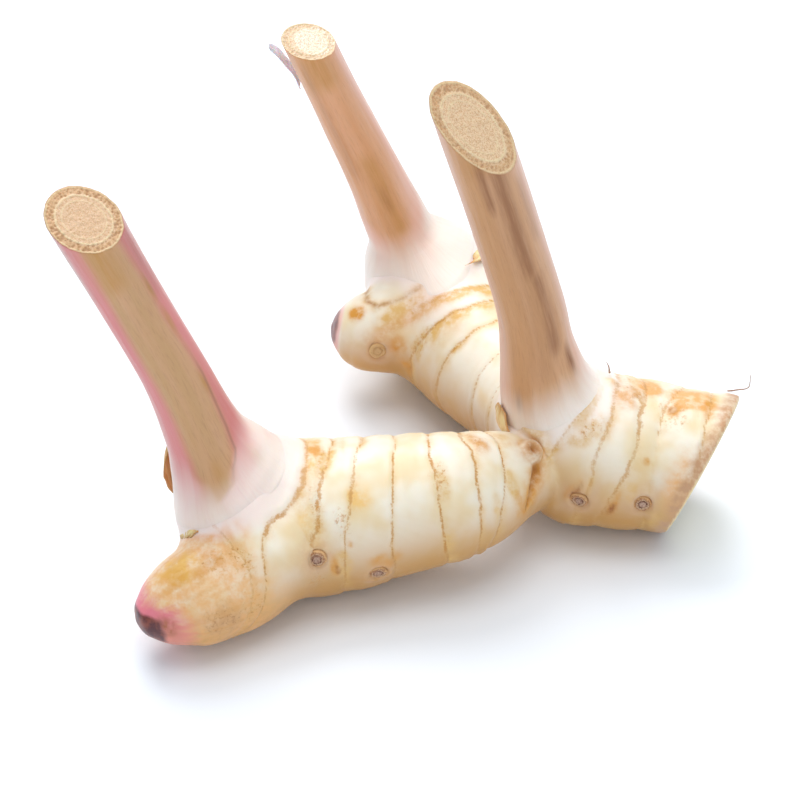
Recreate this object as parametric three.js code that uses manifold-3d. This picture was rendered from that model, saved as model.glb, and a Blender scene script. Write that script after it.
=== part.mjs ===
/**
 * A fresh galangal root: one rhizome of three joined branches that lies on three low points.
 * The right branch is cut square at its outer end and turns up into the middle stem. The front
 * finger and the back branch grow from it, and each turns up into a stem and carries a bud.
 * The three leafy stems are trimmed at a slant. Root stumps sit in the skin, dry leaf scales
 * cling around the stem bases, and two thin rootlets stand up from the right branch.
 *
 * Units are millimetres, +Z is up, and the origin is the bottom centre of the bounding box.
 */
import * as THREE from 'three';
import { mergeVertices } from 'three/addons/utils/BufferGeometryUtils.js';
import Module from 'manifold-3d';

const wasm = await Module();
wasm.setup();

// Driving dimensions.

const GAP = 0.3; // clearance between pieces that touch
const LIMB_SIDES = 20; // facets around a branch or stem
const DOME_ROWS = 4; // rows of facets in the domed end of a limb
const ROWS_PER_STATION = 2; // rows of facets between two stations of a limb
const BLOCK = 400; // side of a block that cuts along a plane, more than the whole root

const STUMP_RADIUS = 2.2; // a cut-off root, at the skin
const STUMP_TAPER = 0.8; // outer radius over inner radius of a stump
const STUMP_PROUD = 0.7; // how far a stump stands out of the skin
const STUMP_DEPTH = 1.6; // how deep a stump sits in its socket
const STUMP_SIDES = 12;

const SCALE_THICKNESS = 0.5; // a dry papery scale
const ROOTLET_RADIUS = 0.35;
const ROOTLET_SIDES = 6;

/**
 * The limbs, each a list of stations [x, y, z, radius] along its axis. A limb that ends in a
 * stem runs from inside the rhizome, round the bend and up to just past the trimmed top.
 */
const LIMBS = {
  rightBranch: [
    [68, -15, 17.2, 16.2], [59.5, -14, 17.2, 16.8], [51, -11.5, 17, 17.4], [42, -11.5, 19, 17.6],
    [34, -10, 24, 15], [28.5, -10, 33, 11.3], [25.3, -11, 46, 8.6], [22.8, -13, 60, 7.6],
    [16, -16, 84, 7.3], [9, -21, 108, 7.2], [6.6, -24, 117, 7.2],
  ],
  frontFinger: [
    [27, -16.5, 16, 7.4], [17.5, -24, 20, 10.6], [7, -30.5, 20.5, 14.2], [-6, -32, 19, 15.7],
    [-18, -33, 17.2, 17.2], [-27.5, -33.5, 17, 17.6], [-37, -33.5, 22.5, 14.7],
    [-43.5, -34, 31.5, 11.1], [-47.6, -35, 42, 8.5], [-52.6, -38.5, 60, 7],
    [-60.7, -41.5, 82, 6.8], [-66.5, -47.5, 102, 7.1], [-67.5, -48.5, 106, 7.2],
  ],
  backBranch: [
    [30.5, -9, 22, 13.5], [24, 10, 17.5, 13.9], [14, 29.5, 16.3, 16.4], [5.3, 45, 18, 17],
    [-0.5, 52.5, 26, 13.8], [-3.8, 52.5, 35, 9.1], [-7.5, 51.5, 45, 7.8], [-11.5, 48, 57, 6.9],
    [-19, 43.5, 77, 6.1], [-26, 36, 98, 5.7], [-27.4, 34.6, 102, 5.7],
  ],
  frontBud: [
    [-35.5, -44.5, 16.5, 13.5], [-41.5, -49.5, 13.5, 12.7], [-47.5, -54.6, 12.8, 11.5],
    [-52.5, -56.9, 12, 9.9], [-56.8, -59, 11.3, 7.5], [-59.4, -60.3, 10.9, 5],
    [-60.8, -60.9, 10.6, 3.2], [-61.5, -61.2, 10.5, 1.2],
  ],
  backBud: [
    [0, 43.5, 20, 12.9], [-7, 38, 19, 11.6], [-12, 36.8, 18.5, 10.3], [-16, 37.2, 18.5, 9],
    [-19, 37.8, 18.6, 6.7], [-21.2, 38, 18.9, 3.7], [-22.1, 38, 19.1, 1.2],
  ],
  frontHeel: [[-42.5, -34.5, 30, 11.6], [-40.5, -37.5, 23, 14.2]],
  backHeel: [[3.5, 51.2, 24.3, 15.1], [6.5, 46, 19.5, 16.8]],
  rightHeel: [[41.5, -11.5, 17, 16.1], [35.5, -14, 14.5, 12.8]],
};

// Where each stem leaves the rhizome, and where it is trimmed: a point and the way out.
const STEMS = {
  front_stem: {
    limb: 'frontFinger',
    heel: 'frontHeel',
    base: { point: [-42.6, -34, 29], out: [-0.5, -0.05, 0.86] },
    trim: { point: [-66.5, -47.5, 102], out: [0.2, -0.5, 0.84] },
    colour: 0xc09080,
  },
  middle_stem: {
    limb: 'rightBranch',
    heel: 'rightHeel',
    base: { point: [29, -10, 32], out: [-0.45, 0, 0.89] },
    trim: { point: [9, -21, 108], out: [0.5, -0.6, 0.62] },
    colour: 0xb98a66,
  },
  back_stem: {
    limb: 'backBranch',
    heel: 'backHeel',
    base: { point: [-3, 52.5, 31], out: [-0.36, 0, 0.93] },
    trim: { point: [-25.9, 36.1, 97.8], out: [0.15, -0.34, 0.93] },
    colour: 0xc8966e,
  },
};

const RIGHT_CUT = { point: [63.9, -14.2, 16.3], out: [0.83, -0.33, -0.32] };
const FLOOR = { point: [0, 0, 0], out: [0, 0, -1] };

/**
 * Root stumps: the limb they grow on, the station they grow at, and the turn around the limb in
 * degrees from its near side, with the top at 90.
 */
const STUMPS = [
  { limb: 'frontFinger', station: 4.62, turn: 10 },
  { limb: 'frontFinger', station: 3.5, turn: -15 },
  { limb: 'rightBranch', station: 3.28, turn: -22 },
  { limb: 'rightBranch', station: 2.2, turn: -3 },
  { limb: 'backBud', station: 1.82, turn: 6 },
  { limb: 'frontFinger', station: 2.7, turn: 200 },
  { limb: 'frontFinger', station: 4.4, turn: 215 },
  { limb: 'rightBranch', station: 1.9, turn: 160 },
  { limb: 'rightBranch', station: 1.5, turn: 205 },
  { limb: 'backBranch', station: 1.6, turn: 175 },
  { limb: 'backBranch', station: 2.5, turn: 200 },
];

/**
 * Dry leaf scales: a thin patch that follows its limb from one station to another and through a
 * range of turns, and stands off the limb by a bulge at mid-height or by a flare at its free end.
 */
const SCALES = {
  front_base_scale: {
    limb: 'frontFinger', stations: [6.6, 7.75], turns: [196, 252], standOff: 0.9, bulge: 2.2,
    taper: 0.45,
  },
  back_base_scale: {
    limb: 'backBranch', stations: [3.35, 4.1], turns: [85, 165], standOff: 2.6, bulge: 0.8,
    taper: 0.5,
  },
  back_stem_strip: {
    limb: 'backBranch', stations: [8.4, 9.15], turns: [-72, -44], standOff: 0.4, bulge: 0,
    flare: 2.6, taper: 0.5,
  },
  junction_scale: {
    limb: 'rightBranch', stations: [4.7, 5.35], turns: [-112, -52], standOff: 0.5, bulge: 1.3,
    taper: 0.5,
  },
  bud_scale: {
    limb: 'frontBud', stations: [1.35, 1.9], turns: [100, 155], standOff: 0.4, bulge: 1.1,
    taper: 0.6,
  },
};

/** Thin rootlets, each a list of stations [x, y, z] from the skin outwards. */
const ROOTLETS = {
  top_rootlet: [[42, -7, 37], [41.6, -7.4, 39], [41, -8, 40.6]],
  end_rootlet: [[69.6, -6, 31.5], [71.6, -6, 31.5], [73.4, -6.1, 31.9], [74, -6.4, 33], [73.9, -6.6, 36]],
};

const SKIN_COLOUR = 0xead9b6;
const STUMP_COLOUR = 0x9c7a62;
const SCALE_COLOUR = 0xc99a62;

// Geometry helpers.

/** Turn a geometry into a solid: merge its corners and leave out triangles with no area. */
function solidOf(geometry) {
  geometry.deleteAttribute('normal');
  geometry.deleteAttribute('uv');
  const merged = mergeVertices(geometry);
  const index = merged.index.array;
  const triVerts = [];
  for (let i = 0; i < index.length; i += 3) {
    const [a, b, c] = [index[i], index[i + 1], index[i + 2]];
    if (a !== b && b !== c && c !== a) triVerts.push(a, b, c);
  }
  const mesh = new wasm.Mesh({
    numProp: 3,
    vertProperties: new Float32Array(merged.attributes.position.array),
    triVerts: new Uint32Array(triVerts),
  });
  return new wasm.Manifold(mesh);
}

/** Turn a solid into a named mesh with its own material. */
function meshOf(name, solid, colour, roughness) {
  const { vertProperties, triVerts } = solid.getMesh();
  const geometry = new THREE.BufferGeometry();
  geometry.setAttribute('position', new THREE.BufferAttribute(vertProperties, 3));
  geometry.setIndex(new THREE.BufferAttribute(triVerts, 1));
  geometry.computeVertexNormals();
  const material = new THREE.MeshStandardMaterial({ color: colour, roughness, metalness: 0 });
  const mesh = new THREE.Mesh(geometry, material);
  mesh.name = name;
  return mesh;
}

/** Move every vertex of a geometry to the place that a function gives for it. */
function reshape(geometry, placeOf) {
  const position = geometry.attributes.position;
  const vertex = new THREE.Vector3();
  for (let i = 0; i < position.count; i += 1) {
    vertex.fromBufferAttribute(position, i);
    const place = placeOf(vertex);
    position.setXYZ(i, place.x, place.y, place.z);
  }
  return geometry;
}

/** The axis, radius and cross-section of a limb, as functions of the station number. */
function pathOf(stations) {
  const last = stations.length - 1;
  const points = stations.map(([x, y, z]) => new THREE.Vector3(x, y, z));
  const widths = stations.map(([, , , radius]) => new THREE.Vector3(radius, 0, 0));
  const axis = new THREE.CatmullRomCurve3(points, false, 'catmullrom');
  const width = new THREE.CatmullRomCurve3(widths, false, 'catmullrom');
  const along = points[last].clone().sub(points[0]).setZ(0);
  const side = new THREE.Vector3(0, 0, 1).cross(along).normalize();

  const centre = (station) => axis.getPoint(station / last);
  const tangent = (station) => axis.getTangent(station / last);
  const radius = (station) => width.getPoint(station / last).x;
  const outward = (station, turn) => {
    const forward = tangent(station);
    const near = side.clone().addScaledVector(forward, -side.dot(forward)).normalize();
    const top = forward.clone().cross(near);
    return near.multiplyScalar(Math.cos(turn)).addScaledVector(top, Math.sin(turn));
  };
  return { last, centre, tangent, radius, outward };
}

/** A round solid with domed ends that follows a path, with its surface moved out by growth. */
function limbSolid(path, sides, growth) {
  const rows = path.last * ROWS_PER_STATION;
  const geometry = new THREE.CapsuleGeometry(1, rows, DOME_ROWS, sides, rows);
  reshape(geometry, (vertex) => {
    const row = THREE.MathUtils.clamp(vertex.y + rows / 2, 0, rows);
    const dome = vertex.y + rows / 2 - row;
    const station = row / ROWS_PER_STATION;
    const radius = path.radius(station) / Math.cos(Math.PI / sides) + growth;
    const spread = Math.hypot(vertex.x, vertex.z);
    const turn = Math.atan2(-vertex.z, vertex.x);
    return path.centre(station)
      .addScaledVector(path.tangent(station), dome * radius)
      .addScaledVector(path.outward(station, turn), spread * radius);
  });
  return solidOf(geometry);
}

/** Everything beyond a plane, as a block whose near face is moved out from it by an offset. */
function beyond({ point, out }, offset) {
  const upright = new THREE.Vector3(0, 0, 1);
  const normal = new THREE.Vector3(...out).normalize();
  const geometry = new THREE.BoxGeometry(BLOCK, BLOCK, BLOCK);
  geometry.translate(0, 0, BLOCK / 2 + offset);
  geometry.applyQuaternion(new THREE.Quaternion().setFromUnitVectors(upright, normal));
  geometry.translate(...point);
  return solidOf(geometry);
}

// The pieces.

const paths = Object.fromEntries(
  Object.entries(LIMBS).map(([name, stations]) => [name, pathOf(stations)]),
);

/** All limbs joined, with their surface moved out by growth. */
function bodySolid(growth) {
  return Object.values(paths)
    .map((path) => limbSolid(path, LIMB_SIDES, growth))
    .reduce((whole, limb) => whole.add(limb));
}

const grownBody = bodySolid(GAP);

/** A root stump: a short tapered peg across the skin, grown by a clearance for its socket. */
function stumpSolid({ limb, station, turn }, clearance) {
  const path = paths[limb];
  const out = path.outward(station, THREE.MathUtils.degToRad(turn));
  const inner = STUMP_RADIUS + clearance;
  const depth = STUMP_DEPTH + clearance;
  const height = depth + STUMP_PROUD;
  const outer = clearance > 0 ? inner : inner * STUMP_TAPER;
  const geometry = new THREE.CylinderGeometry(outer, inner, height, STUMP_SIDES);
  geometry.translate(0, height / 2 - depth, 0);
  const upright = new THREE.Vector3(0, 1, 0);
  geometry.applyQuaternion(new THREE.Quaternion().setFromUnitVectors(upright, out));
  const place = path.centre(station).addScaledVector(out, path.radius(station));
  geometry.translate(place.x, place.y, place.z);
  return solidOf(geometry);
}

/** The part of a stem's limb and heel beyond its base, with all its faces moved out by growth. */
function stemSolid({ limb, heel, base }, growth) {
  const grown = [limb, heel].map((name) => limbSolid(paths[name], LIMB_SIDES, growth));
  return grown[0].add(grown[1]).intersect(beyond(base, -growth));
}

/** The rhizome: all limbs joined, less the stems, the cut end, the floor and the sockets. */
function rhizome() {
  let solid = bodySolid(0);
  for (const design of Object.values(STEMS)) {
    solid = solid.subtract(stemSolid(design, GAP));
  }
  for (const stump of STUMPS) {
    solid = solid.subtract(stumpSolid(stump, GAP));
  }
  solid = solid.subtract(beyond(RIGHT_CUT, 0)).subtract(beyond(FLOOR, 0));
  return meshOf('rhizome', solid, SKIN_COLOUR, 0.45);
}

/** A stem, trimmed at a slant. */
function stem(name, design) {
  const solid = stemSolid(design, 0).subtract(beyond(design.trim, 0));
  return meshOf(name, solid, design.colour, 0.5);
}

/** A dry scale: a thin block bent around its limb, narrowed to its tip and clear of the rest. */
function scale(name, { limb, stations, turns, standOff, bulge, flare = 0, taper }) {
  const path = paths[limb];
  const geometry = new THREE.BoxGeometry(1, 1, 1, 8, 6, 1);
  reshape(geometry, (vertex) => {
    const height = vertex.y + 0.5;
    const station = THREE.MathUtils.lerp(...stations, height);
    const narrow = 1 - (1 - taper) * height ** 2;
    const turn = THREE.MathUtils.lerp(...turns, 0.5 + vertex.x * narrow);
    const lift = standOff + bulge * Math.sin(Math.PI * height) + flare * height ** 2;
    const reach = path.radius(station) + lift + (vertex.z + 0.5) * SCALE_THICKNESS;
    return path.centre(station)
      .addScaledVector(path.outward(station, THREE.MathUtils.degToRad(turn)), reach);
  });
  const solid = solidOf(geometry).subtract(grownBody);
  return meshOf(name, solid, SCALE_COLOUR, 0.7);
}

/** A rootlet: a thin limb of one radius. */
function rootlet(name, points) {
  const path = pathOf(points.map((point) => [...point, ROOTLET_RADIUS]));
  return meshOf(name, limbSolid(path, ROOTLET_SIDES, 0), STUMP_COLOUR, 0.8);
}

const galangal = new THREE.Group();
galangal.add(rhizome());
for (const [name, design] of Object.entries(STEMS)) {
  galangal.add(stem(name, design));
}
STUMPS.forEach((stump, i) => {
  galangal.add(meshOf(`root_stump_${i + 1}`, stumpSolid(stump, 0), STUMP_COLOUR, 0.8));
});
for (const [name, design] of Object.entries(SCALES)) {
  galangal.add(scale(name, design));
}
for (const [name, points] of Object.entries(ROOTLETS)) {
  galangal.add(rootlet(name, points));
}

export default galangal;
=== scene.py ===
"""The looks of a fresh galangal root: a ringed cream rhizome of three joined branches with two
pointed buds, and three leafy stems trimmed at a slant.

The CAD frame holds the root's limbs as faceted solids. Here the same limbs are blended into one
smooth skin and ringed with leaf scars, and each stem gets its fibres and its cut face. All sizes
are in millimetres and all turns in degrees, until a mesh is made in metres.
"""

import bpy
import numpy as np
import openvdb
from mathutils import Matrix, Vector


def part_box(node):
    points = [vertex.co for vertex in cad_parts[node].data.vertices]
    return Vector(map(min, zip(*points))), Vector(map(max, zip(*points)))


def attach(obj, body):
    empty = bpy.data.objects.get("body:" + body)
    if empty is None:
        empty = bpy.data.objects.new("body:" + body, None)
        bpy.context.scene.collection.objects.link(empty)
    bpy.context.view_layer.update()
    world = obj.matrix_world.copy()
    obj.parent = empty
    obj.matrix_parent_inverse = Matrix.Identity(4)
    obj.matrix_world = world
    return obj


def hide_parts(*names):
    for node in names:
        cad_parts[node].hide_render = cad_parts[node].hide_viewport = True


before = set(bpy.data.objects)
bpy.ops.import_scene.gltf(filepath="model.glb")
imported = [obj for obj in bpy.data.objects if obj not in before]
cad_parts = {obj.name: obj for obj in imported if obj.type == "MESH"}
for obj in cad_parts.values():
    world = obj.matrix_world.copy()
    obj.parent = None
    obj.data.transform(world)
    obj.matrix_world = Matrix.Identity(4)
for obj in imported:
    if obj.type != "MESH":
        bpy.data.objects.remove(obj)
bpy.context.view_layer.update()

MM = 0.001
COARSE = 2.4  # grid step of the first search for the rhizome's skin
VOXEL = COARSE / 4  # grid step of the skin itself
STEM_SIDES = 208
STEM_ROWS = 200
CAP_ROWS = 40
rng = np.random.default_rng(7)

# The limbs, each a list of stations [x, y, z, radius] along its axis, as in the CAD.
LIMBS = {
    "rightBranch": [
        [68, -15, 17.2, 16.2], [59.5, -14, 17.2, 16.8], [51, -11.5, 17, 17.4],
        [42, -11.5, 19, 17.6], [34, -10, 24, 15], [28.5, -10, 33, 11.3], [25.3, -11, 46, 8.6],
        [22.8, -13, 60, 7.6], [16, -16, 84, 7.3], [9, -21, 108, 7.2], [6.6, -24, 117, 7.2],
    ],
    "frontFinger": [
        [27, -16.5, 16, 7.4], [17.5, -24, 20, 10.6], [7, -30.5, 20.5, 14.2], [-6, -32, 19, 15.7],
        [-18, -33, 17.2, 17.2], [-27.5, -33.5, 17, 17.6], [-37, -33.5, 22.5, 14.7],
        [-43.5, -34, 31.5, 11.1], [-47.6, -35, 42, 8.5], [-52.6, -38.5, 60, 7],
        [-60.7, -41.5, 82, 6.8], [-66.5, -47.5, 102, 7.1], [-67.5, -48.5, 106, 7.2],
    ],
    "backBranch": [
        [30.5, -9, 22, 13.5], [24, 10, 17.5, 13.9], [14, 29.5, 16.3, 16.4], [5.3, 45, 18, 17],
        [-0.5, 52.5, 26, 13.8], [-3.8, 52.5, 35, 9.1], [-7.5, 51.5, 45, 7.8], [-11.5, 48, 57, 6.9],
        [-19, 43.5, 77, 6.1], [-26, 36, 98, 5.7], [-27.4, 34.6, 102, 5.7],
    ],
    "frontBud": [
        [-35.5, -44.5, 16.5, 13.5], [-41.5, -49.5, 13.5, 12.7], [-47.5, -54.6, 12.8, 11.5],
        [-52.5, -56.9, 12, 9.9], [-56.8, -59, 11.3, 7.5], [-59.4, -60.3, 10.9, 5],
        [-60.8, -60.9, 10.6, 3.2], [-61.5, -61.2, 10.5, 0.4],
    ],
    "backBud": [
        [0, 43.5, 20, 12.9], [-7, 38, 19, 11.6], [-12, 36.8, 18.5, 10.3], [-16, 37.2, 18.5, 9],
        [-19, 37.8, 18.6, 6.7], [-21.2, 38, 18.9, 3.7], [-22.1, 38, 19.1, 0.4],
    ],
    "frontHeel": [[-42.5, -34.5, 30, 11.6], [-40.5, -37.5, 23, 14.2]],
    "backHeel": [[3.5, 51.2, 24.3, 15.1], [6.5, 46, 19.5, 16.8]],
    "rightHeel": [[41.5, -11.5, 17, 16.1], [35.5, -14, 14.5, 12.8]],
}

# How softly each limb blends into those before it, as the width of the blend, and how far its
# smooth skin lies inside the limb, which leaves room for ridges.
BLENDS = {
    "rightBranch": (0, 0.15), "rightHeel": (1.5, 0.15), "backBranch": (4, 0.3),
    "backHeel": (1.5, 0.45), "backBud": (4, 0.15), "frontFinger": (1.5, 0.15),
    "frontHeel": (1.5, 0.15), "frontBud": (4, 0.3),
}
TAPERED = ("frontBud", "backBud")  # limbs that narrow to a point

# Where each stem leaves the rhizome and where it is trimmed: a point and the way out.
STEMS = {
    "front_stem": {
        "limb": "frontFinger", "heel": "frontHeel",
        "base": ((-42.6, -34, 29), (-0.5, -0.05, 0.86)),
        "trim": ((-66.5, -47.5, 102), (0.2, -0.5, 0.84)),
    },
    "middle_stem": {
        "limb": "rightBranch", "heel": "rightHeel",
        "base": ((29, -10, 32), (-0.45, 0, 0.89)),
        "trim": ((9, -21, 108), (0.5, -0.6, 0.62)),
    },
    "back_stem": {
        "limb": "backBranch", "heel": "backHeel",
        "base": ((-3, 52.5, 31), (-0.36, 0, 0.93)),
        "trim": ((-25.9, 36.1, 97.8), (0.15, -0.34, 0.93)),
    },
}
RIGHT_CUT = ((63.9, -14.2, 16.3), (0.83, -0.33, -0.32))
BEYOND_LAST = 0.4  # a limb may be followed this many stations past its last one
EDGE = 0.8  # how round the edge of a cut face is
FAR = 8  # past this a limb has no say in the shape
RECESS = 0.7  # how far the rhizome shrinks inside a stem's base
BURIED = 4  # how far the rhizome reaches up inside a stem
STEM_INSET = 0.05  # how far a stem's skin lies inside its limb
HEEL_BLEND = 3  # width of the blend between a stem's limb and its heel
OVERLAP = 2.5  # how far a stem reaches down past its base
DIP = 0.8  # how far its skin sinks into the rhizome there
STEPS_OUT = 20  # steps that find a stem's skin
CLOSER_AT_BASE = 1.3  # more than 1 puts a stem's rows closer together at its base
GRAIN_AROUND = 7  # radius of the grain around a stem
FIBRE_LENGTH = 14  # how many times as long as wide its fibres are


# Vectors, noise and smooth steps.

def unit(vector):
    """A vector, or each row of an array of vectors, scaled to length 1."""
    length = np.linalg.norm(vector, axis=-1, keepdims=True)
    return vector / np.maximum(length, 1e-9)


def smooth(low, high, value):
    """Rise smoothly from 0 at low to 1 at high; high may be the smaller of the two."""
    t = np.clip((value - low) / (high - low), 0, 1)
    return t * t * (3 - 2 * t)


def hump(value, width):
    """A bell of height 1 around zero."""
    return np.exp(-(value / width) ** 2)


LATTICE_SIDE = 32
LATTICE = rng.random((LATTICE_SIDE,) * 3) * 2 - 1


def noise(points, size):
    """Smooth noise from -1 to 1 with features of a size, repeating after a lattice of them."""
    scaled = np.asarray(points, float) / size
    corner = np.floor(scaled).astype(int)
    t = scaled - corner
    t = t * t * (3 - 2 * t)
    total = np.zeros(len(scaled))
    for dx in (0, 1):
        for dy in (0, 1):
            for dz in (0, 1):
                share = np.prod(np.abs(1 - np.array((dx, dy, dz)) - t), axis=1)
                cell = (corner + (dx, dy, dz)) % LATTICE_SIDE
                total += share * LATTICE[cell[:, 0], cell[:, 1], cell[:, 2]]
    return total


def rough(points, size):
    """Noise with two finer layers."""
    fine = 0.5 * noise(points + 7.3, size / 2)
    finer = 0.25 * noise(points, size / 4)
    return (noise(points, size) + fine + finer) / 1.4


def height_over(plane, points):
    """How far points stand beyond a plane, given as a point and the way out."""
    point, out = plane
    return (points - np.array(point, float)) @ unit(np.array(out, float))


def away(points, place):
    """How far points are from a place."""
    return np.linalg.norm(points - np.array(place), axis=1)


# Limbs as shapes, and how far points are from them.

class Limb:
    """A round limb whose axis and radius run smoothly through its stations."""

    SAMPLES = 24  # per station

    def __init__(self, stations, tapered=False):
        known = np.array(stations, float)
        self.last = len(known) - 1
        first = 2 * known[0] - known[1]
        final = 2 * known[-1] - known[-2]
        self.control = np.vstack([first, known, final])
        along = known[-1, :3] - known[0, :3]
        self.side = unit(np.array([-along[1], along[0], 0]))
        self.step = 1 / self.SAMPLES
        self.numbers = np.arange(self.last * self.SAMPLES + 1) * self.step
        samples = self.at(self.numbers)
        self.centres = samples[:, :3]
        self.radii = samples[:, 3]
        along = np.append(0, np.cumsum(np.linalg.norm(np.diff(self.centres, axis=0), axis=1)))
        self.lean = np.sqrt(1 + np.gradient(self.radii, along) ** 2)
        self.tapered = tapered

    def pieces(self, station):
        """The four control stations around each station number, and how far along it is."""
        inside = np.clip(np.asarray(station, float), 0, self.last + BEYOND_LAST)
        start = np.minimum(inside.astype(int), self.last - 1)
        around = [self.control[start + k] for k in range(4)]
        return around, (inside - start)[..., None]

    def at(self, station):
        """Centre and radius at each station number."""
        (a, b, c, d), t = self.pieces(station)
        return b + 0.5 * t * (c - a + t * (2 * a - 5 * b + 4 * c - d + t * (3 * b - a - 3 * c + d)))

    def frame_at(self, station):
        """Unit vectors at each station number: forward, near side and top."""
        (a, b, c, d), t = self.pieces(station)
        bend = 2 * a - 5 * b + 4 * c - d
        twist = 3 * b - a - 3 * c + d
        speed = 0.5 * (c - a + 2 * t * bend + 3 * t * t * twist)
        forward = unit(speed[..., :3])
        near = unit(self.side - forward * (forward @ self.side)[..., None])
        return forward, near, np.cross(forward, near)

    def outward(self, station, turn):
        """The way out of the limb at a turn from its near side, with the top at 90 degrees."""
        _, near, top = self.frame_at(station)
        angle = np.radians(turn)[..., None]
        return near * np.cos(angle) + top * np.sin(angle)

    def skin(self, station, turn, lift=0.0):
        """Places on the limb's skin, or lifted off it, and the ways out."""
        middle = self.at(station)
        out = self.outward(station, turn)
        return middle[..., :3] + out * (middle[..., 3] + lift)[..., None], out

    def nearest(self, points):
        """For points that lie close together: distance out of the limb, and the station there.

        A round limb is the spheres along its axis. A tapered one is the discs across it.
        """
        middle = points.mean(0)
        reach = np.linalg.norm(points - middle, axis=1).max()
        spans = np.linalg.norm(self.centres - middle, axis=1)
        gap = spans - self.radii
        if gap.min() - reach > FAR:
            return np.full(len(points), gap.min()), np.full(len(points), self.numbers[gap.argmin()])
        sizes = np.zeros(len(spans)) if self.tapered else self.radii
        bound = spans - sizes
        seen = np.flatnonzero(bound <= bound.min() + 2 * reach)
        low = min(max(seen[0] - 1, 0), len(bound) - 3)
        high = max(seen[-1] + 2, low + 3)
        centres = self.centres[low:high] - middle
        arms = points - middle
        squares = (arms ** 2).sum(1)[:, None] + (centres ** 2).sum(1) - 2 * arms @ centres.T
        gaps = np.sqrt(np.maximum(squares, 0)) - sizes[low:high]
        best = np.clip(gaps.argmin(1), 1, gaps.shape[1] - 2)
        rows = np.arange(len(points))
        before, here, after = (gaps[rows, best + k] for k in (-1, 0, 1))
        bend = np.maximum(before - 2 * here + after, 1e-9)
        shift = np.clip(0.5 * (before - after) / bend, -1, 1)
        distance = here - 0.25 * (before - after) * shift
        station = self.numbers[low + best] + shift * self.step
        if self.tapered:
            lean = np.interp(station, self.numbers, self.lean)
            distance = (distance - self.at(station)[:, 3]) / lean
        return distance, station

    def turn_of(self, points, station):
        """The turn around the limb of points at known stations."""
        arm = points - self.at(station)[:, :3]
        _, near, top = self.frame_at(station)
        return np.degrees(np.arctan2((arm * top).sum(1), (arm * near).sum(1)))

    def pace(self, station, turn):
        """Millimetres along the surface for one station."""
        half, slowest = 0.05, 2
        before, after = (self.skin(station + side, turn)[0] for side in (-half, half))
        return np.maximum(np.linalg.norm(after - before, axis=1) / (2 * half), slowest)


limbs = {name: Limb(stations, name in TAPERED) for name, stations in LIMBS.items()}


def in_cubes(points, side=12, across=128):
    """Split points into the cubes of space that hold them, as lists of row numbers.

    The cubes reach as far as the number across, counted with zero in the middle.
    """
    cell = np.floor(points / side).astype(int) + across // 2
    code = (cell[:, 0] * across + cell[:, 1]) * across + cell[:, 2]
    order = np.argsort(code, kind="stable")
    return np.split(order, np.flatnonzero(np.diff(code[order])) + 1)


def survey(points, names=tuple(LIMBS)):
    """For every point, the distance out of each limb and the station there, by limb."""
    found = {name: (np.empty(len(points)), np.empty(len(points))) for name in names}
    for rows in in_cubes(points):
        for name in names:
            distance, station = limbs[name].nearest(points[rows])
            found[name][0][rows] = distance
            found[name][1][rows] = station
    return found


def soft_join(a, b, width):
    """The union of two distances, with the crease between them filled over a width."""
    if width == 0:
        return np.minimum(a, b)
    near = np.maximum(width - np.abs(a - b), 0) / width
    return np.minimum(a, b) - near * near * width / 4


def body_distance(found):
    """Distance out of all the limbs together."""
    whole = None
    for name, (width, inset) in BLENDS.items():
        distance = found[name][0] + inset
        whole = distance if whole is None else soft_join(whole, distance, width)
    return whole


def stem_distance(found, design):
    """Distance out of the limb and heel that a stem is made of."""
    distances = [found[design[key]][0] + STEM_INSET for key in ("limb", "heel")]
    return soft_join(*distances, HEEL_BLEND)


def rhizome_distance(points):
    """Distance out of the rhizome: the limbs, less the stems, the right cut and the floor."""
    found = survey(points)
    whole = body_distance(found)
    for design in STEMS.values():
        own = stem_distance(found, design)
        others = np.min([found[name][0] for name in limbs if name not in design.values()], axis=0)
        height = height_over(design["base"], points)
        alone = smooth(-0.5, 1.5, others - own)
        whole = whole + RECESS * smooth(0, 2, height) * alone * smooth(6, 3, own)
        whole = np.maximum(whole, np.minimum(height - BURIED, 0.3 - own))
    whole = -soft_join(-whole, -height_over(RIGHT_CUT, points), EDGE)
    return -soft_join(-whole, points[:, 2], EDGE)


def every_cell(counts):
    """The whole-number place of every cell in a block, as rows."""
    return np.stack(np.meshgrid(*[np.arange(n) for n in counts], indexing="ij"), -1).reshape(-1, 3)


def rhizome_mesh():
    """Vertices and quads of the rhizome's skin, from a fine grid of distances around it."""
    low, high = (np.array(corner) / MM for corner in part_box("rhizome"))
    low = low - 2 * COARSE
    counts = np.ceil((high + 2 * COARSE - low) / COARSE).astype(int) + 1
    fine = round(COARSE / VOXEL)
    reach = 3 * VOXEL
    cells = every_cell(counts)
    coarse = rhizome_distance(low + (cells + 0.5) * COARSE)
    values = coarse.reshape(counts)
    for axis in range(3):
        values = np.repeat(values, fine, axis)
    values = np.where(values > 0, reach, -reach).astype(np.float32)
    near = cells[np.abs(coarse) < 1.1 * COARSE + 2 * VOXEL]
    places = (near[:, None] * fine + every_cell([fine] * 3)[None]).reshape(-1, 3)
    exact = rhizome_distance(low + (places + 0.5) * VOXEL)
    values[places[:, 0], places[:, 1], places[:, 2]] = np.clip(exact, -reach, reach)
    grid = openvdb.FloatGrid(reach)
    grid.copyFromArray(values)
    grid.gridClass = openvdb.GridClass.LEVEL_SET
    points, quads = grid.convertToQuads(isovalue=0.0)
    return low + (points.astype(float) + 0.5) * VOXEL, quads.astype(int)


def crossed(points, quads):
    """The cross product of each quad's diagonals."""
    first, second, third, fourth = (points[quads[:, corner]] for corner in range(4))
    return np.cross(third - first, fourth - second)


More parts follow.
